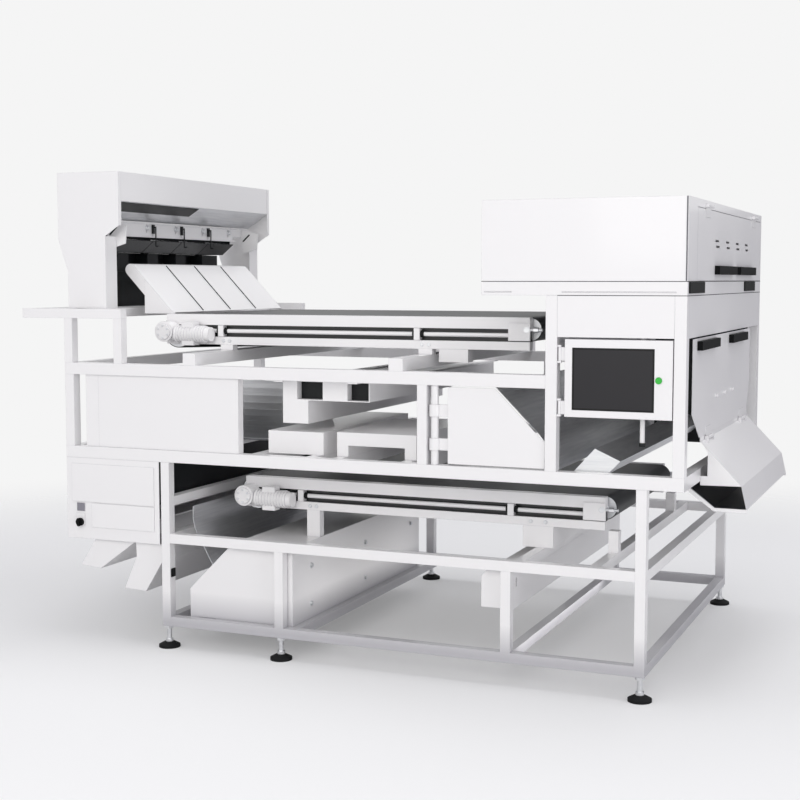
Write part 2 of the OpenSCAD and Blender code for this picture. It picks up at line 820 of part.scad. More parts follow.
// Vented side door of the hood, hinged along its top edge
vent_l = 78;
vent_h = 8;
vent_pitch = 240;
door_gap = 2;
module hood_door() {
  y0 = fy(corner_return + door_gap);
  y1 = by(hood_rim + door_gap);
  z1 = hood_top - hood_rim - door_gap;
  vent_z = hood_z + 130;
  color(white) {
    difference() {
      block([right_x - sheet, y0, hood_z + door_gap], [right_x, y1, z1]);
      for (k = [0:3]) for (s = [0, 1]) translate([0, fy(553) + k * vent_pitch - s * 18, vent_z + s * 22])
        block([right_x - 2 * sheet, 0, 0], [right_x + 1, vent_l, vent_h]);
    }
    for (y = hood_hinge_ys) hinge_barrel_y(hood_hinge_x, hood_hinge_z, y) {
      block([right_x, y, z1 - 30], [right_x + 2, y + door_hinge_l, hood_hinge_z]);
      block([right_x, y, hood_hinge_z - 2], [hood_hinge_x, y + door_hinge_l, hood_hinge_z]);
    }
  }
}

// Pulls with a finger recess
module pull(y, z, l) {
  x = right_x + weld_gap;
  difference() {
    block([x, y, z], [x + 20, y + l, z + 34]);
    block([x + 4, y + 30, z - 1], [x + 16, y + l - 30, z + 24]);
  }
}

module hood_door_pulls() {
  color(black) for (y = [fy(530), fy(1040)]) pull(y, hood_z + 26, 420);
}

// Skirt panels below the pan on the front, right and back
module head_skirt() {
  x0 = rx(bay_l) + post_w;
  x1 = right_x - post_w;
  z1 = pan_z - weld_gap;
  color(white) {
    both_sides() block([x0 + weld_gap, front_y, skirt_z], [x1 - weld_gap, fy(sheet), z1]);
    block([right_x - sheet, fy(post_w + weld_gap), skirt_z], [right_x, by(post_w + weld_gap), z1]);
  }
}

// Tapered lower side door, hinged along its bottom edge above the outlet
outlet_z = deck_top + 101;
side_hinge_x = right_x + 8;
side_hinge_z = outlet_z + 6;
side_door_z = side_hinge_z + 12;
side_hinge_ys = [fy(400), fy(1180)];
module side_door() {
  z1 = skirt_z - 6;
  z0 = side_door_z;
  outline = [
    [fy(121), z1], [by(272), z1], [by(272), z0 + 138], [by(340), z0], [fy(274), z0], [fy(121), z0 + 98]
  ];
  hook_z = z0 + 133;
  color(white) {
    slab_yz(outline, right_x - sheet, right_x);
    for (y = side_hinge_ys) hinge_barrel_y(side_hinge_x, side_hinge_z, y) {
      block([right_x, y, side_hinge_z - 2], [right_x + 2, y + door_hinge_l, z0 + 30]);
      block([right_x, y, side_hinge_z - 2], [side_hinge_x, y + door_hinge_l, side_hinge_z + 2]);
    }
    for (y = [fy(620), fy(800), fy(980)]) rod_x(right_x, right_x + 9, y, hook_z, 6);
  }
}

module side_door_pulls() {
  color(black) for (y = [fy(200), fy(890)]) pull(y, skirt_z - 50, 380);
}

// Screen housing hinged on the left post of the head bay, its glass and its button
screen_gap = 4;
screen_x1 = rx(post_w + screen_gap);
screen_x0 = screen_x1 - screen_w;
screen_z1 = skirt_z - 7;
screen_z0 = screen_z1 - screen_h;
screen_depth = 36;
screen_hinge_x = rx(bay_l) + post_w + 9;
screen_hinge_y = fy(9);
screen_hinge_zs = [screen_z0 + 8, screen_z1 - 80];
glass_x = screen_x0 + 28;
glass_z = screen_z0 + 26;
glass_t = 2.2;
bezel = 3;
button_x = screen_x1 - 50;
button_z = screen_z0 + 142;
button_l = 12;
module screen_housing() {
  color(white) {
    difference() {
      block([screen_x0, front_y, screen_z0], [screen_x1, fy(screen_depth), screen_z1]);
      block(
        [glass_x - clear, front_y - 1, glass_z - clear],
        [glass_x + display_w + clear, fy(bezel), glass_z + display_h + clear]
      );
      rod_y(button_x, front_y - 1, fy(button_l + button_travel + 4), button_z, button_d / 2 + clear);
    }
    for (z = screen_hinge_zs) difference() {
      union() {
        rod_z(screen_hinge_x, screen_hinge_y, z, z + hinge_l, hinge_r);
        block([screen_hinge_x, screen_hinge_y - 2, z], [screen_x0 + 1, screen_hinge_y + 2, z + hinge_l]);
      }
      rod_z(screen_hinge_x, screen_hinge_y, z - 1, z + hinge_l + 1, pin_r + shaft_play);
    }
  }
}

module screen_glass() {
  color(dark) translate([glass_x, fy(bezel - glass_t), glass_z]) cube([display_w, glass_t, display_h]);
}

module start_button() {
  color("#3cb043") rod_y(button_x, front_y - button_travel - 1, fy(button_l), button_z, button_d / 2);
}

// Cameras and lamps inside the hood, on bars between its ends
module camera_bar() {
  x = rx(430);
  z = hood_z + 150;
  color(dark) {
    block([x, fy(sheet), z], [x + 40, by(sheet), z + 40]);
    for (k = [-1:1]) {
      block([x - 20, 330 * k - 40, z - 90], [x + 60, 330 * k + 40, z]);
      rod_z(x + 20, 330 * k, z - 130, z - 90, 26);
    }
  }
}

module lamp_tubes() {
  z = hood_z + 70;
  color("#f6f6ee") for (d = [620, 250]) {
    rod_y(rx(d), fy(sheet), by(sheet), z, 16);
  }
}

// Ejector bar with air nozzles between the bay's left posts, past the upper belt's end
module ejector_bar() {
  x = rx(bay_l) + 2;
  z1 = upper_belt_z - 70;
  nozzle_pitch = 38;
  color(steel) {
    block([x, fy(post_w + clear), z1 - 60], [x + post_w - 4, by(post_w + clear), z1]);
    for (k = [-12:12]) rod_z(x + post_w / 2, nozzle_pitch * k, z1 - 1, z1 + 12, 4);
  }
}

// Product outlet: flange behind the door, sloped top, end face, floor with rims, and two cheeks
outlet_y = 556;
outlet_lip = [right_x + outlet_reach - 20, deck_z - 12];
outlet_low = [right_x + outlet_reach, deck_z - 98];
outlet_knee = [right_x + 56, outlet_low[1]];
outlet_step = [rx(40), deck_z - 25];
outlet_liner = [outlet_step + [3, 1.2], outlet_knee + [0, 1.2], outlet_low + [-5, 1.2], outlet_lip - [3, 3]];
module accept_outlet() {
  flange_x = right_x - 2 * sheet - clear;
  top = [right_x + clear, outlet_z];
  lip = outlet_lip;
  low = outlet_low;
  knee = outlet_knee;
  floor_line = [[rx(40), deck_z - clear], outlet_step, knee, low];
  window_x = right_x + 27;
  rim = 14;
  color(white) {
    slab_xz(sheet_outline([top, lip, low], sheet), -outlet_y, outlet_y);
    block([flange_x, -outlet_y, outlet_z - sheet], [top[0], outlet_y, outlet_z]);
    block([flange_x, -outlet_y, outlet_z - sheet], [flange_x + sheet, outlet_y, side_door_z + 20]);
    slab_xz(sheet_outline(floor_line, sheet), -outlet_y, outlet_y);
    both_sides() slab_xz(sheet_outline([floor_line[1], knee, low], rim), -outlet_y - sheet, -outlet_y);
    both_sides() slab_xz(
      [
        top, lip, [top[0], lip[1] - 3], [top[0], deck_z + 21],
        [window_x, deck_z + 21], [window_x, outlet_z - 38]
      ],
      -outlet_y - sheet, -outlet_y
    );
    for (y = side_hinge_ys) hinge_pins_y(side_hinge_x, side_hinge_z, y, 2 * hinge_r);
  }
}

// Stainless chutes: the hopper's slanted floor, reject chute and splitter, return chute, collecting trough
bay_panel_y = by(post_w + 8);
module chute_sheets() {
  reject_y = by(post_w + clear);
  hopper_y = tower_y - sheet - clear;
  knee = [rx(560), 975];
  bend_r = 250;
  reject = concat(
    [knee + [-175, 175]],
    arc(knee[0] - bend_r * cos(45), knee[1] - bend_r * sin(45), bend_r, 45, 8, 10)
  );
  splitter = [[rx(427), 831], [rx(345), 922], [rx(248), 879], [rx(296), 829]];
  bend = [lx(588), 560];
  return_r = 150;
  return_a = 29;
  return_x = lx(681);
  return_arc = arc(bend[0] + return_r, bend[1], return_r, 180, 180 + return_a, 8);
  return_foot = [return_x, cabinet_side_z + return_x - cabinet_x + sheet * 0.75];
  trough_r = 290;
  trough_y = fy(500);
  color(steel) {
    slab_xz(sheet_outline([throat, hopper_top], -sheet), -hopper_y, hopper_y);
    slab_xz(sheet_outline(reject, sheet), -reject_y, reject_y);
    slab_xz(splitter, fy(post_w + 18), bay_panel_y - clear);
    slab_xz(
      sheet_outline(concat([bend + [0, 40]], return_arc, [return_foot]), -sheet),
      fy(60), by(60)
    );
    slab_yz(
      sheet_outline(arc(trough_y, deck_top + clear + trough_r + sheet, trough_r, 250, 350, 14), sheet),
      lx(300), lx(922)
    );
  }
}

// Front cover of the middle level with a column beside it, a valve box and a bridge on the deck
module mid_covers() {
  x0 = lx(160);
  x1 = lx(837);
  z0 = deck_top + clear;
  z1 = top_rail_z - clear;
  y0 = fy(12);
  depth = 40;
  box_y = fy(100);
  bridge = [[1239, 0], [1289, 0], [1289, 45], [1534, 45], [1534, 0], [1584, 0], [1584, 98], [1239, 98]];
  color(white) {
    difference() {
      block([x0, y0, z0], [x1, y0 + depth, z1]);
      block([x0 + sheet, y0 + sheet, z0 + sheet], [x1 - sheet, y0 + depth + 1, z1 - sheet]);
    }
    block([lx(97), y0, z0], [x0 - clear, y0 + 40, z1]);
    block([lx(928), box_y, z0], [lx(1179), box_y + 900, z0 + 93]);
    slab_xz([for (p = bridge) [lx(p[0]), z0 + p[1]]], box_y, box_y + 600);
  }
}

// Extraction duct across the machine: an L section with two windows, hung from the top rails
exhaust_x = lx(1111);
exhaust_x2 = lx(1383);
exhaust_y = fy(100);
exhaust_z = top_rail_z - clear - 5;
exhaust_windows = [[exhaust_x - 50, exhaust_x + 65], [exhaust_x + 175, exhaust_x2 - 4]];
module extraction_duct() {
  x0 = lx(996);
  x1 = exhaust_x;
  x2 = exhaust_x2;
  y0 = exhaust_y;
  z1 = top_rail_z - clear;
  z2 = exhaust_z;
  color(white) {
    difference() {
      slab_xz(
        [[x0, z2], [x0, z2 - 175], [x1, z2 - 175], [x1, z2 - 80], [x2, z2 - 80], [x2, z2]], y0, -y0
      );
      for (w = exhaust_windows) {
        block([w[0], y0 - 1, z2 - 76], [w[1], y0 + 60, z2 - 4]);
      }
    }
    for (x = [x0 + 10, x2 - 50]) block([x, front_y, z2], [x + 40, back_y, z1]);
  }
}

// Chamber door on a round hinge post
module chamber_door() {
  z0 = deck_top + 6;
  z1 = top_rail_z - 6;
  x0 = rx(908);
  x1 = rx(bay_l + 4);
  y0 = fy(10);
  color(white) {
    difference() {
      union() {
        slab_xz([[x0, z0], [x1, z0], [x1, z1 - 196], [x1 - 196, z1], [x0, z1]], y0, y0 + sheet);
        block([x0, y0, z0], [x0 + sheet, y0 + 30, z1]);
        for (z = [z0 + 50, z0 + 180]) {
          rod_z(hinge_bar_x, hinge_bar_y, z, z + 46, hinge_bar_r + 7);
          block([hinge_bar_x, hinge_bar_y - 6, z], [x0 + 1, hinge_bar_y + 6, z + 46]);
        }
      }
      rod_z(hinge_bar_x, hinge_bar_y, z0 - 1, z1 + 1, hinge_bar_r + shaft_play);
    }
  }
}

// Lower sorter box under the deck's left end, with a bore for the switch
box_x1 = lx(462);
box_z = 437;
spout_x = lx(125);
switch_x = lx(68);
switch_z = box_z + 72;
switch_pin_r = 5;
module sorter_box() {
  y0 = front_y;
  color(white) difference() {
    block([left_x, y0, box_z], [box_x1, -y0, deck_z - weld_gap]);
    block([left_x + sheet, y0 + sheet, box_z + sheet], [box_x1 + 1, -y0 - sheet, deck_z - sheet]);
    block([spout_x, fy(24), box_z - 1], [box_x1 - 5, by(24), box_z + sheet + 1]);
    rod_y(switch_x, y0 - 1, y0 + sheet + 1, switch_z, switch_pin_r + shaft_play);
  }
}

// Two front covers and a small grille plate
cover_t = 3;
module sorter_covers() {
  x1 = box_x1 - 24;
  y1 = front_y - weld_gap;
  y0 = y1 - cover_t;
  split_z = box_z + 158;
  color(white) {
    block([left_x + 26, y0, split_z + 2], [x1, y1, deck_z - 26]);
    block([spout_x, y0, box_z + 52], [x1, y1, split_z - 2]);
  }
  color(white) difference() {
    block([switch_x - 22, y0, switch_z - 12], [switch_x + 22, y1, switch_z + 37]);
    rod_y(switch_x, y0 - 1, y1 + 1, switch_z, switch_pin_r + shaft_play);
  }
  color(white) block([lx(50), y0, split_z - 40], [lx(92), y1, split_z - 2]);
}

// Two tapered spouts under the sorter box, open above and below
module spout(left, right, y0) {
  wall = concat(left, [for (i = [len(right) - 1:-1:0]) right[i]]);
  slab_xz(sheet_outline(left, -sheet), y0, -y0);
  slab_xz(sheet_outline(right, -sheet), y0, -y0);
  both_sides() slab_xz(wall, y0, y0 + sheet);
}

module sorter_spouts() {
  y0 = fy(22);
  z = box_z - weld_gap;
  color(white) {
    spout([[lx(128), z], [lx(51), z - 120]], [[lx(324), z], [lx(147), z - 129]], y0);
    spout(
      [[lx(330), z], [lx(332), z - 66], [lx(271), z - 205]],
      [[lx(456), z], [lx(458), z - 75], [lx(374), z - 210]],
      y0
    );
  }
}

// Main switch: a knob with a grip bar, its pin through the sorter box front
module main_switch() {
  r = 17;
  y1 = front_y - weld_gap - cover_t - clear;
  color(black) {
    rod_y(switch_x, y1 - 13, y1, switch_z, r);
    block([switch_x - 5, y1 - 21, switch_z - r], [switch_x + 5, y1 - 12, switch_z + r]);
    rod_y(switch_x, y1 - 1, fy(sheet + 12), switch_z, switch_pin_r);
  }
}

// Lower cabinet with a sloped left side, on the bottom cross rails
cabinet_top = mid_rail_z + 14;
cabinet_side_z = lower_rail_top + 120;
module lower_cabinet() {
  x1 = cabinet_rail_x + 6;
  slope = cabinet_top - cabinet_side_z;
  color(white) slab_xz(
    [
      [cabinet_x, lower_rail_top], [x1, lower_rail_top], [x1, cabinet_top],
      [cabinet_x + slope, cabinet_top], [cabinet_x, cabinet_side_z]
    ],
    fy(lower_tube + 4), by(300)
  );
}

// Black pieces: back panel of the bay, tower and sorter box liners, slot seal, gate guides, window plates
guide_w = 16;
guide_t = 8;
hook_r = 3;
seal_w = 66;
liner_inset = 20;
module black_fittings() {
  liner_x = column_x0 + sheet + clear;
  box_liner_x = box_x1 - liner_inset;
  slope = (hopper_top - throat) / norm(hopper_top - throat);
  seal_top = hopper_top - slope * 8 + [slope[1], -slope[0]] * weld_gap;
  guide_x = gate_x + gate_t + clear;
  guide_z = gate_z + gate_h;
  flange_x = gate_x + gate_t + gate_flange;
  hook_x = flange_x + hook_r + 1;
  hook_z = gate_z - 30;
  arm_z = guide_z - 12;
  color(black) {
    block(
      [rx(bay_l) + post_w + clear, bay_panel_y, deck_z - 10],
      [rx(post_w + clear), bay_panel_y + sheet, pan_z - clear]
    );
    block([liner_x, -tower_y + side_box_d, table_top], [liner_x + sheet, tower_y - side_box_d, rear_cover_z]);
    block(
      [box_liner_x, fy(sheet + clear), box_rail_z],
      [box_liner_x + sheet, by(sheet + clear), deck_z - sheet - clear]
    );
    slab_xz(sheet_outline([seal_top - slope * seal_w, seal_top], sheet), -tower_y + bin_return, 0);
    for (w = exhaust_windows) block(
      [w[0] + clear, exhaust_y + 40, exhaust_z - 76 + clear],
      [w[1] - clear, exhaust_y + 42, exhaust_z - 4 - clear]
    );
    for (i = [1:3]) {
      y = -belt_y + lane_w * i;
      web_y = lane_gap / 2 - clear;
      block(
        [guide_x, y - guide_w / 2, gate_z + gate_lift + gate_travel + gate_t + 2],
        [guide_x + guide_t, y + guide_w / 2, guide_z]
      );
      block([gate_x - clear, y - web_y, knob_z - bar_h / 2], [guide_x + 1, y + web_y, guide_z]);
      rod_x(guide_x, hook_x, y, arm_z, hook_r);
      rod_z(hook_x, y, hook_z, arm_z + hook_r, hook_r);
      rod_x(hook_x, hook_x + 14, y, hook_z + hook_r, hook_r);
    }
    both_sides() cheek_slot(clear, cheek_t / 2);
    slab_xz(sheet_outline(outlet_liner, -1.5), -outlet_y + 1, outlet_y - 1);
    rod_z(conduit_x, conduit_y, conduit_z - 14, conduit_z - weld_gap, conduit_r + 3);
  }
}

lower_frame();
upper_frame();
foot_stems();
foot_pads();
conveyor_beams();
service_duct();
tower_sides();
hopper_bin();
gate_bar();
feed_gate(1);  // feed_gate_1
feed_gate(2);  // feed_gate_2
feed_gate(3);  // feed_gate_3
feed_gate(4);  // feed_gate_4
gate_knob(1);  // gate_knob_1
gate_knob(2);  // gate_knob_2
gate_knob(3);  // gate_knob_3
gate_knob(4);  // gate_knob_4
feeder_tray(1);  // feeder_tray_1
feeder_tray(2);  // feeder_tray_2
feeder_tray(3);  // feeder_tray_3
feeder_tray(4);  // feeder_tray_4
feeder_drives();
feed_slide();
slide_dividers();
side_rails();
belt_beds();
gearmotors();
rail_fittings();
tension_bolts();
belt(upper_line);  // upper_belt
drive_roller(upper_line);  // upper_drive_roller
tail_roller(upper_line);  // upper_tail_roller
belt(lower_line);  // lower_belt
drive_roller(lower_line);  // lower_drive_roller
tail_roller(lower_line);  // lower_tail_roller
head_pan();
corner_pads();
head_hood();
hood_door();
hood_door_pulls();
head_skirt();
side_door();
side_door_pulls();
screen_housing();
screen_glass();
start_button();
camera_bar();
lamp_tubes();
ejector_bar();
accept_outlet();
chute_sheets();
mid_covers();
extraction_duct();
chamber_door();
sorter_box();
sorter_covers();
sorter_spouts();
main_switch();
lower_cabinet();
black_fittings();
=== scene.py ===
import json
import math

import bmesh
import bpy
from mathutils import Matrix, Vector


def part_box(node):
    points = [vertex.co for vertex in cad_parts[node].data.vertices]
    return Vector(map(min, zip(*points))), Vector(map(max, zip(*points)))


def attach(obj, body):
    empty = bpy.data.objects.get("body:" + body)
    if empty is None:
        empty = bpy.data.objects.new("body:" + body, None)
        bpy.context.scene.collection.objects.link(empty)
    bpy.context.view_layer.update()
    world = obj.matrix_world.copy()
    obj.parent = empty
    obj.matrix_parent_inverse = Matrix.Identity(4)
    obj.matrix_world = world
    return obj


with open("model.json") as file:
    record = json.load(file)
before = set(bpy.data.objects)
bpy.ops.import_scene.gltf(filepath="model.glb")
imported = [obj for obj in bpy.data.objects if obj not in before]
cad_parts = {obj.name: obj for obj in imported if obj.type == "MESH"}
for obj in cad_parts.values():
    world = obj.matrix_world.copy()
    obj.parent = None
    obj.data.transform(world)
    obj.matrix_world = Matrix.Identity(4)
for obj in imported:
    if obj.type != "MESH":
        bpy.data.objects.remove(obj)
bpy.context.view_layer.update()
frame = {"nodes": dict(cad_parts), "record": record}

nodes = frame["nodes"]
print("stage: frame loaded")

sceneRoot = bpy.context.scene.collection
mm = 0.001  # piece and pattern sizes below are in millimetres, the studio's places in metres
bodyRoot = "machine"  # the fixed body that the scene's own pieces ride on
edgeSamples = 4  # rays that round an edge in a shader


def linearColour(hexText):  # sRGB hex to the linear colour that shaders take
    out = []
    for i in (0, 2, 4):
        c = int(hexText[i + 1:i + 3], 16) / 255
        out.append(c / 12.92 if c <= 0.04045 else ((c + 0.055) / 1.055) ** 2.4)
    return (*out, 1.0)


def addNode(tree, kind, settings=None, **links):  # a link named i6 goes to the socket with index 6
    node = tree.nodes.new(kind)
    for name, value in (settings or {}).items():
        if isinstance(name, int) or name in node.inputs:
            node.inputs[name].default_value = value
        else:
            setattr(node, name, value)
    for name, source in links.items():
        key = int(name[1:]) if name[0] == "i" and name[1:].isdigit() else name.replace("_", " ")
        tree.links.new(source, node.inputs[key])
    return node


def newMaterial(name):
    mat = bpy.data.materials.new(name)
    mat.use_nodes = True
    tree = mat.node_tree
    tree.nodes.clear()
    out = tree.nodes.new("ShaderNodeOutputMaterial")
    return mat, tree, out


def frequencyFor(sizeMm):  # noise scale that gives features of this size, in object metres
    return 1000.0 / sizeMm


# powder-coated sheet steel: even satin-gloss white with a faint orange-peel skin, and dust with painted shade
# in its corners
def powderCoat(name, look):
    mat, tree, out = newMaterial(name)
    coords = addNode(tree, "ShaderNodeTexCoord")
    peel = addNode(tree, "ShaderNodeTexNoise", {"Scale": frequencyFor(look["peelMm"]), "Detail": 2.0},
                   Vector=coords.outputs["Object"])
    cloud = addNode(tree, "ShaderNodeTexNoise", {"Scale": frequencyFor(look["cloudMm"]), "Detail": 3.0},
                    Vector=coords.outputs["Object"])
    soft = addNode(tree, "ShaderNodeBevel", {"Radius": look["edgeMm"] * mm, "samples": edgeSamples})
    bump = addNode(tree, "ShaderNodeBump",
                   {"Strength": look["peelBump"], "Distance": look["peelDeepMm"] * mm},
                   Height=peel.outputs["Fac"], Normal=soft.outputs["Normal"])
    # dust and painted shade: corners that ambient occlusion finds closed are painted greyer
    corners = addNode(tree, "ShaderNodeAmbientOcclusion",
                      {"Distance": look["cornerDustAndShadeMm"] * mm, "samples": look["cornerDustAndShadeSamples"]})
    closed, clear = look["cornerDustAndShadeOpening"]  # how open a corner is where the dust and painted shade are thickest, and where they end
    cornerDustAndShade = addNode(tree, "ShaderNodeMapRange",
                   {"From Min": closed, "From Max": clear, "To Min": look["cornerDustAndShade"], "To Max": 0.0},
                   Value=corners.outputs["AO"])
    tint = addNode(tree, "ShaderNodeMix",
                   {"data_type": "RGBA", 6: linearColour(look["colour"]),
                    7: linearColour(look["cornerDustAndShadeColour"])},
                   Factor=cornerDustAndShade.outputs["Result"])
    place = addNode(tree, "ShaderNodeSeparateXYZ", Vector=coords.outputs["Object"])
    low = addNode(tree, "ShaderNodeMapRange",
                  {"From Min": look["lowGreyTopMm"] * mm, "From Max": look["lowGreyBottomMm"] * mm,
                   "To Max": look["lowGrey"]}, Value=place.outputs["Z"])
    tint = addNode(tree, "ShaderNodeMix", {"data_type": "RGBA", 7: linearColour(look["lowGreyColour"])},
                   Factor=low.outputs["Result"], i6=tint.outputs[2])  # the paint greys towards the floor on the lowest tubes
    # handling wear and painted shade: the rounded edges are painted greyer
    flat = addNode(tree, "ShaderNodeNewGeometry")
    turn = addNode(tree, "ShaderNodeVectorMath", {"operation": "DOT_PRODUCT"},
                   i0=soft.outputs["Normal"], i1=flat.outputs["True Normal"])
    bare, wornAndShaded = look["edgeTurn"]  # cosine of the edge's tilt where the wear and painted shade start, and where they are full
    edgeWearAndShadeMask = addNode(tree, "ShaderNodeMapRange", {"From Min": bare, "From Max": wornAndShaded, "To Max": look["edgeWearAndShade"]},
                  Value=turn.outputs["Value"])  # handling wear and painted shade grey the sharp edges a little
    tint = addNode(tree, "ShaderNodeMix", {"data_type": "RGBA", 7: linearColour(look["edgeWearAndShadeColour"])},
                   Factor=edgeWearAndShadeMask.outputs["Result"], i6=tint.outputs[2])
    if "paintedSlotShade" in look:  # painted shade: black in the bottoms of the rails' slots, where the recess falls in shade
        slot = look["paintedSlotShade"]
        side = addNode(tree, "ShaderNodeMath", {"operation": "ABSOLUTE"}, i0=place.outputs["Y"])
        deep = addNode(tree, "ShaderNodeMath",
                       {"operation": "COMPARE", 1: slot["acrossMm"] * mm, 2: slot["halfAcrossMm"] * mm},
                       i0=side.outputs[0])
        bands = [addNode(tree, "ShaderNodeMath",
                         {"operation": "COMPARE", 1: z * mm, 2: slot["halfRiseMm"] * mm},
                         i0=place.outputs["Z"]) for z in slot["risesMm"]]
        high = addNode(tree, "ShaderNodeMath", {"operation": "ADD"},
                       i0=bands[0].outputs[0], i1=bands[1].outputs[0])
        slotShadeMask = addNode(tree, "ShaderNodeMath", {"operation": "MULTIPLY"},
                        i0=deep.outputs[0], i1=high.outputs[0])
        tint = addNode(tree, "ShaderNodeMix", {"data_type": "RGBA", 7: linearColour(slot["colour"])},
                       Factor=slotShadeMask.outputs[0], i6=tint.outputs[2])
    rough = addNode(tree, "ShaderNodeMapRange",
                    {"To Min": look["roughness"] - look["smoother"],
                     "To Max": look["roughness"] + look["rougher"]},
                    Value=cloud.outputs["Fac"])
    shader = addNode(tree, "ShaderNodeBsdfPrincipled",
                     {"IOR": 1.5, "Coat Weight": look["coat"], "Coat Roughness": look["coatRoughness"]},
                     Base_Color=tint.outputs[2], Roughness=rough.outputs["Result"],
                     Normal=bump.outputs["Normal"])
    tree.links.new(shader.outputs["BSDF"], out.inputs["Surface"])
    return mat


# stainless sheet with a fine rolled grain: long faint streaks and a soft sheen
def stainlessSheet(name, look):
    mat, tree, out = newMaterial(name)
    coords = addNode(tree, "ShaderNodeTexCoord")
    along = addNode(tree, "ShaderNodeMapping", {"Scale": look["stretch"]}, Vector=coords.outputs["Object"])
    grain = addNode(tree, "ShaderNodeTexNoise", {"Scale": frequencyFor(look["grainMm"]), "Detail": 4.0},
                    Vector=along.outputs["Vector"])
    cloud = addNode(tree, "ShaderNodeTexNoise", {"Scale": frequencyFor(look["cloudMm"]), "Detail": 2.0},
                    Vector=coords.outputs["Object"])
    soft = addNode(tree, "ShaderNodeBevel", {"Radius": look["edgeMm"] * mm, "samples": edgeSamples})
    bump = addNode(tree, "ShaderNodeBump", {"Strength": look["bump"], "Distance": look["grainDeepMm"] * mm},
                   Height=grain.outputs["Fac"], Normal=soft.outputs["Normal"])
    rough = addNode(tree, "ShaderNodeMapRange",
                    {"To Min": look["roughness"] - look["smoother"],
                     "To Max": look["roughness"] + look["rougher"]},
                    Value=grain.outputs["Fac"])
    pale, dark = look["streakRange"]
    streak = addNode(tree, "ShaderNodeMapRange", {"From Min": pale, "From Max": dark},
                     Value=grain.outputs["Fac"])
    mottle = addNode(tree, "ShaderNodeMath", {"operation": "MULTIPLY"},
                     i0=streak.outputs["Result"], i1=cloud.outputs["Fac"])
    shade = addNode(tree, "ShaderNodeMix",
                    {"data_type": "RGBA", 6: linearColour(look["colour"]), 7: linearColour(look["shade"])},
                    Factor=mottle.outputs[0])
    shader = addNode(tree, "ShaderNodeBsdfPrincipled", {"Metallic": 1.0, "Anisotropic": look["anisotropy"]},
                     Base_Color=shade.outputs[2], Roughness=rough.outputs["Result"],
                     Normal=bump.outputs["Normal"])
    tree.links.new(shader.outputs["BSDF"], out.inputs["Surface"])
    return mat


# moulded, vulcanised or enamelled dark pieces, and the dark and grey pieces that are painted shade and
# painted reflection: dull, with a fine grain and rounded edges that catch the light
def dullGrainedFinish(name, look):
    mat, tree, out = newMaterial(name)
    coords = addNode(tree, "ShaderNodeTexCoord")
    grain = addNode(tree, "ShaderNodeTexNoise", {"Scale": frequencyFor(look["grainMm"]), "Detail": 3.0},
                    Vector=coords.outputs["Object"])
    soft = addNode(tree, "ShaderNodeBevel", {"Radius": look["edgeMm"] * mm, "samples": edgeSamples})
    bump = addNode(tree, "ShaderNodeBump", {"Strength": look["bump"], "Distance": look["grainDeepMm"] * mm},
                   Height=grain.outputs["Fac"], Normal=soft.outputs["Normal"])
    shade = addNode(tree, "ShaderNodeMix",
                    {"data_type": "RGBA", 6: linearColour(look["colour"]), 7: linearColour(look["pale"])},
                    Factor=grain.outputs["Fac"])
    shader = addNode(tree, "ShaderNodeBsdfPrincipled",
                     {"IOR": 1.5, "Roughness": look["roughness"], "Specular IOR Level": look["gloss"]},
                     Base_Color=shade.outputs[2], Normal=bump.outputs["Normal"])
    tree.links.new(shader.outputs["BSDF"], out.inputs["Surface"])
    return mat


whiteLook = {"colour": "#f4f3f3", "roughness": 0.34, "smoother": 0.05, "rougher": 0.06, "cloudMm": 260,
             "coat": 0.3, "coatRoughness": 0.08,
             "peelMm": 7, "peelDeepMm": 0.2, "peelBump": 0.03,  # peel is 1 mm in life, drawn coarser to show
             # corner dust: partly painted shade in the corners
             "cornerDustAndShadeColour": "#b9b7bd", "cornerDustAndShade": 0.35, "cornerDustAndShadeMm": 26, "cornerDustAndShadeOpening": (0.25, 0.85),
             "cornerDustAndShadeSamples": 6,
             # edge grey: handling wear and painted shade on the rounded edges
             "edgeWearAndShadeColour": "#bdbbc2", "edgeMm": 1.8, "edgeWearAndShade": 0.7, "edgeTurn": (0.995, 0.8),
             "lowGreyColour": "#9d9ca3", "lowGrey": 0.7, "lowGreyTopMm": 240, "lowGreyBottomMm": 110}
# the slot colour below is painted shade, black in the bottoms of the rails' slots
railLook = {**whiteLook, "paintedSlotShade": {"colour": "#18191b", "acrossMm": 528, "halfAcrossMm": 17.5,
                                     "risesMm": (1326, 631), "halfRiseMm": 25.5}}
steelLook = {"colour": "#ecedef", "shade": "#cfd1d5", "roughness": 0.4, "smoother": 0.05, "rougher": 0.08,
             "grainMm": 9, "grainDeepMm": 0.1, "bump": 0.02, "stretch": (0.04, 0.04, 1.0), "cloudMm": 180,
             "edgeMm": 0.8, "streakRange": (0.36, 0.66), "anisotropy": 0.35}  # grain drawn coarser to show
rubberLook = {"colour": "#121314", "pale": "#1d1e1f", "roughness": 0.7, "gloss": 0.2,
              "grainMm": 5, "grainDeepMm": 0.3, "bump": 0.12, "edgeMm": 1.5}
beltLook = {"colour": "#2a2c2d", "pale": "#37393a", "roughness": 0.45, "gloss": 0.3,
            "grainMm": 8, "grainDeepMm": 0.3, "bump": 0.06, "edgeMm": 1.0}
plasticLook = {"colour": "#0d0e0f", "pale": "#141516", "roughness": 0.55, "gloss": 0.08,
               "grainMm": 4, "grainDeepMm": 0.3, "bump": 0.05, "edgeMm": 2.0}
# black inner paint; where it lines the outlets' insides it is painted shade
innerLook = {"colour": "#16181a", "pale": "#1e2022", "roughness": 0.35, "gloss": 0.25,
             "grainMm": 12, "grainDeepMm": 0.3, "bump": 0.03, "edgeMm": 1.0}
# painted reflection: the stainless trays are drawn glossy black for the dark their undersides reflect
trayLook = {**innerLook, "roughness": 0.2}
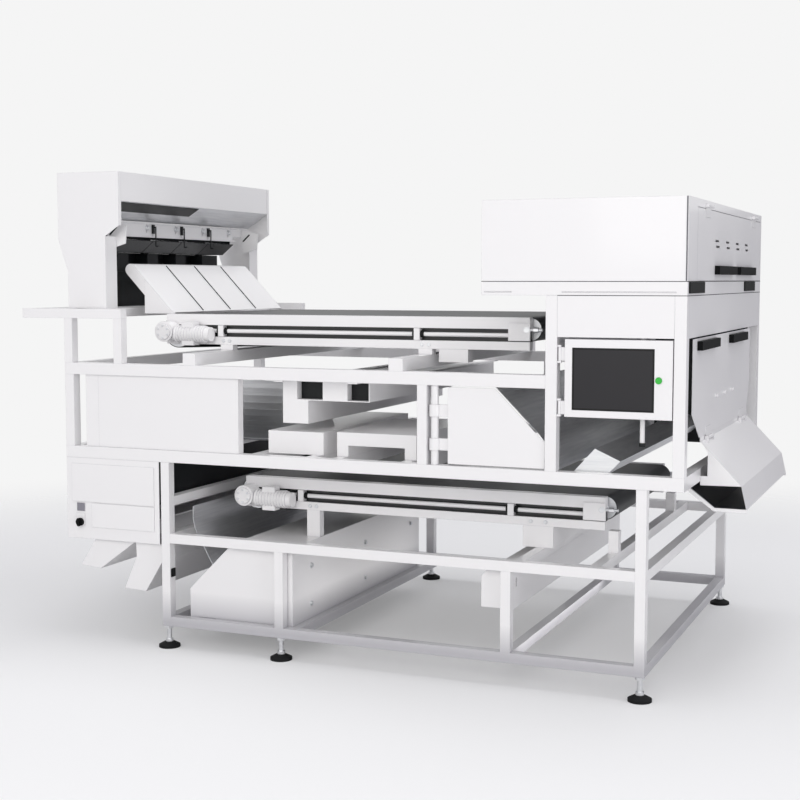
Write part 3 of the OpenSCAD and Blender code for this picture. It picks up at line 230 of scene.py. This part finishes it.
# grey strip of painted shade for the hood's corner
greyShadeStripLook = {**rubberLook, "colour": "#6b6a70", "pale": "#7b7a80"}
# grey plate of painted shade for the recess over the switch
greyShadePlateLook = {**plasticLook, "gloss": 0.3, "colour": "#85838b", "pale": "#918f97"}

whitePaint = powderCoat("powder_coated_steel", whiteLook)
railPaint = powderCoat("powder_coated_rail_with_painted_slot_shade", railLook)
trayPaintedReflection = dullGrainedFinish("black_gloss_painted_reflection", trayLook)
stainless = stainlessSheet("rolled_stainless", steelLook)
blackRubber = dullGrainedFinish("black_rubber", rubberLook)
greyShadeStrip = dullGrainedFinish("grey_painted_shade_strip", greyShadeStripLook)
beltRubber = dullGrainedFinish("belt_rubber", beltLook)
blackPlastic = dullGrainedFinish("moulded_black_abs", plasticLook)
greyShadePlate = dullGrainedFinish("grey_painted_shade_plate", greyShadePlateLook)
innerPaintAndShade = dullGrainedFinish("black_inner_paint_and_painted_shade", innerLook)
print("stage: finishes made")

lampLook = {"colour": "#f0f0ea", "cloudMm": 60, "roughness": (0.2, 0.3)}


# opal glass tube of the lamps: milky white with a soft gloss
def lampGlass(look):
    mat, tree, out = newMaterial("opal_lamp_glass")
    coords = addNode(tree, "ShaderNodeTexCoord")
    cloud = addNode(tree, "ShaderNodeTexNoise", {"Scale": frequencyFor(look["cloudMm"])},
                    Vector=coords.outputs["Object"])
    smooth, dull = look["roughness"]
    rough = addNode(tree, "ShaderNodeMapRange", {"To Min": smooth, "To Max": dull},
                    Value=cloud.outputs["Fac"])
    shader = addNode(tree, "ShaderNodeBsdfPrincipled",
                     {"IOR": 1.5, "Base Color": linearColour(look["colour"])},
                     Roughness=rough.outputs["Result"])
    tree.links.new(shader.outputs["BSDF"], out.inputs["Surface"])
    return mat


screenLook = {"colour": "#29282b", "borderColour": "#0b0b0c", "borderMm": 7, "fadeMm": 0.5,
              "cloudMm": 120, "roughness": (0.28, 0.36), "gloss": 0.3}


# dark screen: a grey display behind matt glass, with a black printed border
def displayGlass(look):
    mat, tree, out = newMaterial("screen_glass_with_border")
    low, high = (Vector(v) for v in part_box("screen_glass"))
    centre = (low + high) / 2
    half = (high - low) / 2
    coords = addNode(tree, "ShaderNodeTexCoord")
    place = addNode(tree, "ShaderNodeSeparateXYZ", Vector=coords.outputs["Object"])
    masks = []
    for axis, mid, reach in (("X", centre.x, half.x), ("Z", centre.z, half.z)):
        off = addNode(tree, "ShaderNodeMath", {"operation": "SUBTRACT", 1: mid}, i0=place.outputs[axis])
        size = addNode(tree, "ShaderNodeMath", {"operation": "ABSOLUTE"}, i0=off.outputs[0])
        edge = addNode(tree, "ShaderNodeMapRange",
                       {"From Min": reach - (look["borderMm"] + look["fadeMm"]) * mm,
                        "From Max": reach - look["borderMm"] * mm}, Value=size.outputs[0])
        masks.append(edge.outputs["Result"])
    border = addNode(tree, "ShaderNodeMath", {"operation": "MAXIMUM"}, i0=masks[0], i1=masks[1])
    cloud = addNode(tree, "ShaderNodeTexNoise", {"Scale": frequencyFor(look["cloudMm"])},
                    Vector=coords.outputs["Object"])
    smooth, dull = look["roughness"]
    rough = addNode(tree, "ShaderNodeMapRange", {"To Min": smooth, "To Max": dull},
                    Value=cloud.outputs["Fac"])
    colour = addNode(tree, "ShaderNodeMix",
                     {"data_type": "RGBA", 6: linearColour(look["colour"]),
                      7: linearColour(look["borderColour"])},
                     Factor=border.outputs[0])
    shader = addNode(tree, "ShaderNodeBsdfPrincipled", {"IOR": 1.5, "Specular IOR Level": look["gloss"]},
                     Base_Color=colour.outputs[2], Roughness=rough.outputs["Result"])
    tree.links.new(shader.outputs["BSDF"], out.inputs["Surface"])
    return mat


buttonLook = {"colour": "#2fb53a", "pale": "#3cc247", "cloudMm": 10, "edgeMm": 2.0, "roughness": 0.25}


# moulded push button: clean green with a glossy rounded rim
def buttonPlastic(look):
    mat, tree, out = newMaterial("moulded_green_abs")
    coords = addNode(tree, "ShaderNodeTexCoord")
    cloud = addNode(tree, "ShaderNodeTexNoise", {"Scale": frequencyFor(look["cloudMm"])},
                    Vector=coords.outputs["Object"])
    soft = addNode(tree, "ShaderNodeBevel", {"Radius": look["edgeMm"] * mm, "samples": edgeSamples})
    colour = addNode(tree, "ShaderNodeMix",
                     {"data_type": "RGBA", 6: linearColour(look["colour"]), 7: linearColour(look["pale"])},
                     Factor=cloud.outputs["Fac"])
    shader = addNode(tree, "ShaderNodeBsdfPrincipled", {"IOR": 1.5, "Roughness": look["roughness"]},
                     Base_Color=colour.outputs[2], Normal=soft.outputs["Normal"])
    tree.links.new(shader.outputs["BSDF"], out.inputs["Surface"])
    return mat


finishOfSlot = {
    "white_paint": whitePaint,
    "stainless": stainless,
    "black_rubber": blackRubber,
    "belt_rubber": beltRubber,
    "black_plastic": blackPlastic,
    "dark_paint": innerPaintAndShade,
    "lamp_glass": lampGlass(lampLook),
    "screen_glass": displayGlass(screenLook),
    "green_plastic": buttonPlastic(buttonLook),
}
finishOfNode = {"side_rails": railPaint, **{f"feeder_tray_{i}": trayPaintedReflection for i in (1, 2, 3, 4)}}
for sub in frame["record"]["subparts"]:
    obj = nodes[sub["node"]]
    finish = finishOfNode.get(sub["node"], finishOfSlot[sub["material_slot"]])
    if not obj.data.materials:
        obj.data.materials.append(finish)
    for slot in obj.material_slots:
        slot.material = finish
print("stage: finishes set")


def newPiece(name, shape, finish):  # a finished mesh on the fixed machine
    mesh = bpy.data.meshes.new(name)
    bmesh.ops.recalc_face_normals(shape, faces=shape.faces)
    shape.to_mesh(mesh)
    shape.free()
    mesh.materials.append(finish)
    obj = bpy.data.objects.new(name, mesh)
    sceneRoot.objects.link(obj)
    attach(obj, bodyRoot)


def bevelAll(shape, made, offset, steps):  # rounds every edge of what was just made
    edges = {e for v in made["verts"] for e in v.link_edges}
    bmesh.ops.bevel(shape, geom=list(edges), offset=offset * mm, segments=steps, affect="EDGES")


def joinRows(shape, rows):  # faces between closed profiles, the last row back to the first
    for k in range(len(rows)):
        here, there = rows[k], rows[(k + 1) % len(rows)]
        for i in range(len(here)):
            j = (i + 1) % len(here)
            shape.faces.new((here[i], here[j], there[j], there[i]))


def addBolt(shape, place, facing, size):  # washer and chamfered hexagon head, standing on a face
    turn = Vector((0, 0, 1)).rotation_difference(Vector(facing)).to_matrix().to_4x4()
    at = Matrix.Translation(Vector(place) * mm) @ turn
    middle = (size["washerT"] - size["sink"]) / 2
    bmesh.ops.create_cone(shape, cap_ends=True, segments=size["washerSides"], radius1=size["washerR"] * mm,
                          radius2=(size["washerR"] - size["washerTaper"]) * mm,
                          depth=(size["washerT"] + size["sink"]) * mm,
                          matrix=at @ Matrix.Translation((0, 0, middle * mm)))
    middle = size["washerT"] + size["headT"] / 2 - size["headSink"]
    head = bmesh.ops.create_cone(shape, cap_ends=True, segments=6, radius1=size["headR"] * mm,
                                 radius2=size["headR"] * mm, depth=size["headT"] * mm,
                                 matrix=at @ Matrix.Translation((0, 0, middle * mm)))
    bevelAll(shape, head, size["chamfer"], size["chamferSteps"])


def addPad(shape, low, high, look):  # block with rounded edges
    low, high = Vector(low) * mm, Vector(high) * mm
    size = Matrix.Diagonal((*(high - low), 1))
    made = bmesh.ops.create_cube(shape, size=1.0, matrix=Matrix.Translation((low + high) / 2) @ size)
    bevelAll(shape, made, look["round"], look["roundSteps"])


def addRing(shape, middle, profile, steps):  # closed profile of (along X, radius) spun round the X axis
    rows = []
    for k in range(steps):
        a = 2 * math.pi * k / steps
        rows.append([shape.verts.new(((middle[0] + x) * mm, (middle[1] + r * math.cos(a)) * mm,
                                      (middle[2] + r * math.sin(a)) * mm)) for x, r in profile])
    joinRows(shape, rows)


def addBead(shape, low, high, z, profile):  # closed profile of (outwards, up) swept round a rectangle
    rows = []
    for x, y, sx, sy in ((low[0], low[1], -1, -1), (high[0], low[1], 1, -1),
                         (high[0], high[1], 1, 1), (low[0], high[1], -1, 1)):
        rows.append([shape.verts.new(((x + sx * out) * mm, (y + sy * out) * mm, (z + up) * mm))
                     for out, up in profile])
    joinRows(shape, rows)


# stainless bolts: of the cabinet's side, of the rails over their beams, and of the gearbox lids
boltForm = {"sink": 0.3, "washerSides": 28, "washerTaper": 0.5, "headSink": 0.1, "chamferSteps": 2}
boltLook = {"m10": {**boltForm, "washerR": 12, "washerT": 2, "headR": 9.4, "headT": 6.4, "chamfer": 0.8},
            "m8": {**boltForm, "washerR": 8.4, "washerT": 1.6, "headR": 7.4, "headT": 5.3, "chamfer": 0.7},
            "m5": {**boltForm, "washerR": 5.2, "washerT": 1.0, "headR": 4.6, "headT": 3.5, "chamfer": 0.5},
            "cabinetX": -246, "cabinet": [(-646, 356), (-648, 195), (-94, 196), (-93, 357), (447, 357)],
            "railY": 550, "rails": {1284: (-709, -679, 213, 243), 589: (-297, -267, 680, 741)},
            "lidY": -632.3, "lids": [(-964, 1322), (-577, 627)], "lidRing": 26, "lidCount": 6}
shape = bmesh.new()
for y, z in boltLook["cabinet"]:
    addBolt(shape, (boltLook["cabinetX"], y, z), (1, 0, 0), boltLook["m10"])
newPiece("cabinet_bolts", shape, stainless)
shape = bmesh.new()
for z, xs in boltLook["rails"].items():
    for x in xs:
        for side in (-1, 1):
            addBolt(shape, (x, side * boltLook["railY"], z), (0, side, 0), boltLook["m8"])
newPiece("rail_bolts", shape, stainless)
shape = bmesh.new()
for x, z in boltLook["lids"]:
    for k in range(boltLook["lidCount"]):
        a = 2 * math.pi * (k + 0.5) / boltLook["lidCount"]
        across, up = boltLook["lidRing"] * math.cos(a), boltLook["lidRing"] * math.sin(a)
        addBolt(shape, (x + across, boltLook["lidY"], z + up), (0, -1, 0), boltLook["m5"])
newPiece("gearbox_bolts", shape, stainless)

# rubber rings on the guide rods, on both sides of each clip
ringLook = {"rodY": 541, "inner": 9.1, "outer": 14, "round": 1.2, "cornerShare": 0.3, "short": 8, "long": 15,
            "clipW": 26, "gap": 0.3, "steps": 40, "clips": {1326: (-733, 179), 631: (-352, 584)}}
shape = bmesh.new()
for z, xs in ringLook["clips"].items():
    for x in xs:
        before = (x - ringLook["short"] - ringLook["gap"], ringLook["short"])
        after = (x + ringLook["clipW"] + ringLook["gap"], ringLook["long"])
        for start, wide in (before, after):
            r, c = ringLook["outer"], ringLook["round"]
            cut = ringLook["cornerShare"] * c
            profile = [(0, ringLook["inner"]), (0, r - c), (cut, r - cut), (c, r), (wide - c, r),
                       (wide - cut, r - cut), (wide, r - c), (wide, ringLook["inner"])]
            for side in (-1, 1):
                addRing(shape, (start, side * ringLook["rodY"], z), profile, ringLook["steps"])
newPiece("rod_rings", shape, blackRubber)

# black beads along the head's two seams: painted shadow, drawing the dark shadow lines there
seamShadowLook = {"profile": [(-0.8, -1.3), (0.3, -1.2), (0.8, -0.5), (0.8, 0.5), (0.3, 1.2), (-0.8, 1.3)],
            "seams": [((577, -862), (1348, 862), 1539.85), ((872.3, -862), (1348, 862), 1488.85)]}
shape = bmesh.new()
for low, high, z in seamShadowLook["seams"]:
    addBead(shape, low, high, z, seamShadowLook["profile"])
newPiece("seam_shadow_beads", shape, blackRubber)

# grey strip down the hood's front right corner: painted shade, the grey the corner shows between the lit
# front and the shaded side
cornerShadeLook = {"outline": [(1340.5, -861.6), (1340.9, -862.9), (1342, -863.4),
                          (1344.5, -863.4), (1345.6, -862.9), (1346, -861.6)],
              "low": 1542, "high": 1840}
shape = bmesh.new()
ends = [[shape.verts.new((x * mm, y * mm, z * mm)) for x, y in cornerShadeLook["outline"]]
        for z in (cornerShadeLook["low"], cornerShadeLook["high"])]
for row in ends:
    shape.faces.new(row)
for i in range(len(ends[0])):
    j = (i + 1) % len(ends[0])
    shape.faces.new((ends[0][i], ends[0][j], ends[1][j], ends[1][i]))
newPiece("corner_shade_strip", shape, greyShadeStrip)

# grey plate over the switch: painted shade, standing in for the shaded recess there
switchShadeLook = {"low": (-1257.5, -866.6, 556.5), "high": (-1218.5, -864.9, 591.5), "round": 0.5, "roundSteps": 3}
shape = bmesh.new()
addPad(shape, switchShadeLook["low"], switchShadeLook["high"], switchShadeLook)
newPiece("switch_shade_plate", shape, greyShadePlate)

# black stop pads on the left legs, at the back and mirrored at the front
padLook = {"x": (-798.3, -793), "y": (826, 858), "z": (301, 337), "round": 1.5, "roundSteps": 3}
shape = bmesh.new()
for near, far in (padLook["y"], tuple(-v for v in reversed(padLook["y"]))):
    low, high = ((padLook["x"][i], y, padLook["z"][i]) for i, y in enumerate((near, far)))
    addPad(shape, low, high, padLook)
newPiece("leg_pads", shape, blackRubber)
print("stage: fasteners and seals made")

# camera at the photograph's place
view = {"place": (2.317, -5.824, 1.545), "downDeg": 4.91, "turnDeg": 22.65, "lensMm": 62.87,
        "sensorMm": 36, "reach": 60}
camData = bpy.data.cameras.new("camera")
camData.lens = view["lensMm"]
camData.sensor_width = view["sensorMm"]
camData.clip_end = view["reach"]
cam = bpy.data.objects.new("camera", camData)
cam.location = view["place"]
cam.rotation_euler = (math.radians(90 - view["downDeg"]), 0, math.radians(view["turnDeg"]))
sceneRoot.objects.link(cam)
bpy.context.scene.camera = cam

# pale floor that fades into the backdrop
floorLook = {"colour": "#dcdcdc", "size": 14.0, "fadeFrom": 2.6, "fadeTo": 5.5,
             "lift": 0.2}  # only the camera sees the lift
floorMesh = bpy.data.meshes.new("floor")
half = floorLook["size"] / 2
corners = [(-half, -half, 0), (half, -half, 0), (half, half, 0), (-half, half, 0)]
floorMesh.from_pydata(corners, [], [(0, 1, 2, 3)])
floor = bpy.data.objects.new("floor", floorMesh)
sceneRoot.objects.link(floor)
floorMat, tree, out = newMaterial("studio_floor")
coords = addNode(tree, "ShaderNodeTexCoord")
reach = addNode(tree, "ShaderNodeVectorMath", {"operation": "LENGTH"}, i0=coords.outputs["Object"])
fade = addNode(tree, "ShaderNodeMapRange",
               {"From Min": floorLook["fadeFrom"], "From Max": floorLook["fadeTo"],
                "interpolation_type": "SMOOTHSTEP"}, Value=reach.outputs["Value"])
paper = addNode(tree, "ShaderNodeBsdfDiffuse", {"Color": linearColour(floorLook["colour"])})
path = addNode(tree, "ShaderNodeLightPath")
lift = addNode(tree, "ShaderNodeMath", {"operation": "MULTIPLY", 1: floorLook["lift"]},
               i0=path.outputs["Is Camera Ray"])
glow = addNode(tree, "ShaderNodeEmission", Strength=lift.outputs[0])
paper = addNode(tree, "ShaderNodeAddShader", i0=paper.outputs["BSDF"], i1=glow.outputs["Emission"])
clearPart = addNode(tree, "ShaderNodeBsdfTransparent")
both = addNode(tree, "ShaderNodeMixShader", Fac=fade.outputs["Result"],
               i1=paper.outputs["Shader"], i2=clearPart.outputs["BSDF"])
tree.links.new(both.outputs["Shader"], out.inputs["Surface"])
floorMesh.materials.append(floorMat)

# even studio world, white behind the object
worldLook = {"backdrop": "#f5f5f5", "fillColour": "#f2f2f8", "fill": 0.67}
world = bpy.data.worlds.new("studio")
bpy.context.scene.world = world
world.use_nodes = True
tree = world.node_tree
tree.nodes.clear()
out = tree.nodes.new("ShaderNodeOutputWorld")
path = addNode(tree, "ShaderNodeLightPath")
seen = addNode(tree, "ShaderNodeMath", {"operation": "MAXIMUM"},
               i0=path.outputs["Is Camera Ray"], i1=path.outputs["Is Glossy Ray"])
seen = addNode(tree, "ShaderNodeMath", {"operation": "MAXIMUM"},
               i0=seen.outputs[0], i1=path.outputs["Is Transmission Ray"])
fill = addNode(tree, "ShaderNodeBackground",
               {"Color": linearColour(worldLook["fillColour"]), "Strength": worldLook["fill"]})
backdrop = addNode(tree, "ShaderNodeBackground",
                   {"Color": linearColour(worldLook["backdrop"]), "Strength": 1.0})
mixed = addNode(tree, "ShaderNodeMixShader", Fac=seen.outputs[0],
                i1=fill.outputs["Background"], i2=backdrop.outputs["Background"])
tree.links.new(mixed.outputs["Shader"], out.inputs["Surface"])

# soft lamps; mirrored says whether metal and gloss show the lamp
lamps = [
    {"name": "front_key", "place": (1.0, -7.4, 3.6), "aim": (0, 0, 1.0), "size": (4.0, 4.0),
     "watts": 133, "tint": "#fffdf9", "mirrored": True},
    {"name": "left_fill", "place": (-2.6, -6.6, 2.4), "aim": (-0.6, 0, 1.2), "size": (3.0, 3.0),
     "watts": 30, "tint": "#fffefc", "mirrored": False},
    {"name": "right_fill", "place": (5.6, -3.0, 0.9), "aim": (0, 0, 0.5), "size": (2.6, 0.9),
     "watts": 46, "tint": "#fdfcff", "mirrored": True},
    {"name": "top_fill", "place": (0.8, 0.2, 6.2), "aim": (0, 0, 1.0), "size": (4.5, 4.5),
     "watts": 110, "tint": "#ffffff", "mirrored": True},
    {"name": "low_fill", "place": (1.14, -0.13, 0.11), "aim": (-0.25, -0.13, 0.2), "size": (1.3, 0.06),
     "watts": 0.5, "tint": "#fffdfd", "mirrored": False, "spreadDeg": 26},
]
for lamp in lamps:
    data = bpy.data.lights.new(lamp["name"], "AREA")
    data.shape = "RECTANGLE"
    data.size, data.size_y = lamp["size"]
    data.energy = lamp["watts"]
    data.color = linearColour(lamp["tint"])[:3]
    if "spreadDeg" in lamp:
        data.spread = math.radians(lamp["spreadDeg"])
    obj = bpy.data.objects.new(lamp["name"], data)
    obj.location = lamp["place"]
    aim = Vector(lamp["aim"]) - Vector(lamp["place"])
    obj.rotation_euler = aim.to_track_quat("-Z", "Y").to_euler()
    obj.visible_camera = False
    obj.visible_glossy = lamp["mirrored"]
    sceneRoot.objects.link(obj)
bpy.context.scene.view_settings.view_transform = "Standard"

# grey cards beyond the picture, which metal and gloss paint mirror; other rays pass through them
cardLook = {"colour": "#6c6a72", "cards": [((7.5, -2.0, 1.6), (0.0, 7.0, 1.4)),
                                          ((0.5, 7.5, 3.0), (8.0, 0.0, 0.8)),
                                          ((3.0, 7.6, 0.9), (9.0, 0.0, 2.6))]}  # middle and size of each
cardMat, tree, out = newMaterial("studio_card")
path = addNode(tree, "ShaderNodeLightPath")
card = addNode(tree, "ShaderNodeEmission", {"Color": linearColour(cardLook["colour"]), "Strength": 1.0})
clearPart = addNode(tree, "ShaderNodeBsdfTransparent")
both = addNode(tree, "ShaderNodeMixShader", Fac=path.outputs["Is Glossy Ray"],
               i1=clearPart.outputs["BSDF"], i2=card.outputs["Emission"])
tree.links.new(both.outputs["Shader"], out.inputs["Surface"])
for i, (middle, reach) in enumerate(cardLook["cards"]):
    mid = Vector(middle)
    side = Vector((reach[0], reach[1], 0)) / 2
    rise = Vector((0, 0, reach[2])) / 2
    mesh = bpy.data.meshes.new("studio_card")
    corners = [mid - side - rise, mid + side - rise, mid + side + rise, mid - side + rise]
    mesh.from_pydata(corners, [], [(0, 1, 2, 3)])
    mesh.materials.append(cardMat)
    obj = bpy.data.objects.new(f"studio_card_{i}", mesh)
    sceneRoot.objects.link(obj)
print("stage: studio set")
